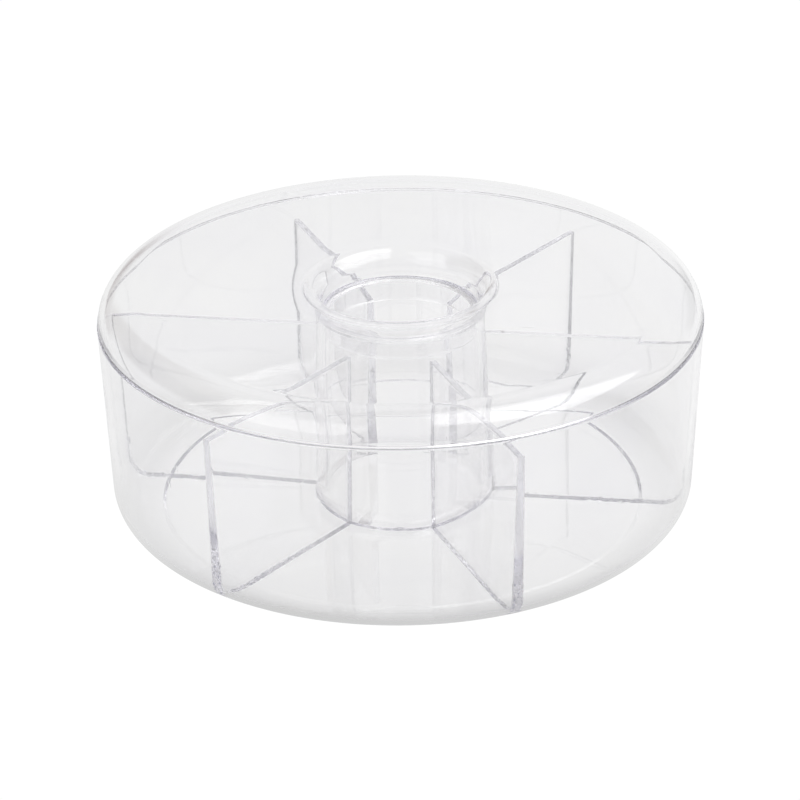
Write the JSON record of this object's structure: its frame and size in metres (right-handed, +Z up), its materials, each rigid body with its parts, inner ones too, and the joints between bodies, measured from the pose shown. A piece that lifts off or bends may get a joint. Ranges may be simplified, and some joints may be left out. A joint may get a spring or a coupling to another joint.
{
  "type": "tool storage caddy",
  "caption": "Round clear plastic storage caddy: a shallow divided tray with a hollow centre post, and a loose lid with a rounded shoulder whose centre well drops into the post.",
  "frame": {"origin": "centre of the underside of the foot, on the surface that the caddy stands on", "axes": "+Z up along the axis of the drum and of the lid's travel; +X along the middle of divider_1, the other dividers every 60 degrees from it"},
  "size_m": [0.2, 0.2, 0.0777],
  "materials": {
    "tray_clear": "clear gloss, water-clear with a faint violet-blue edge",
    "lid_clear": "clear gloss, water-clear with a faint violet-blue edge"
  },
  "bodies": {
    "tray": {"tray_bowl": "tray_clear", "centre_post": "tray_clear", "divider_1": "tray_clear", "divider_2": "tray_clear", "divider_3": "tray_clear", "divider_4": "tray_clear", "divider_5": "tray_clear", "divider_6": "tray_clear"},
    "lid": {"lid": "lid_clear"}
  },
  "joints": [
    {"name": "lid_lift", "type": "slide", "parent": "tray", "child": "lid", "axis": [0, 0, 1], "range_m": [0, 0.1]}
  ]
}
